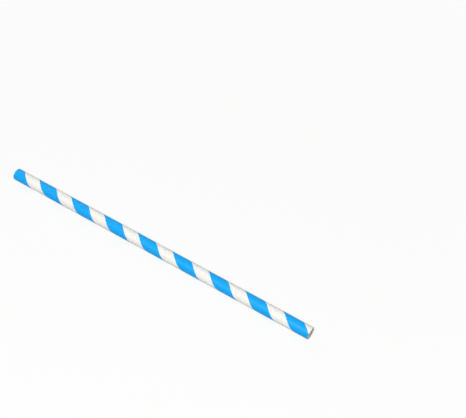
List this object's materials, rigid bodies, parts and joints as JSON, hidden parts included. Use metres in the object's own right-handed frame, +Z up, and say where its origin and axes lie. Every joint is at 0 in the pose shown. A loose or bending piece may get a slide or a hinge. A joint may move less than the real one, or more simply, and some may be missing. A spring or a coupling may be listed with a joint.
{
  "type": "paper drinking straw",
  "caption": "Spiral-wound paper drinking straw: a thin straight tube with square-cut ends and a coloured band printed along its winding.",
  "frame": {"origin": "middle of the straw's lowest line, where it lies on a table", "axes": "+X along the tube, +Z up, +Y completes the right-handed frame; the printed band climbs a right-handed helix about +X"},
  "size_m": [0.197, 0.007, 0.0069],
  "materials": {
    "printed_paper": "matte"
  },
  "bodies": {
    "root": {"paper_tube": "printed_paper"}
  },
  "joints": []
}
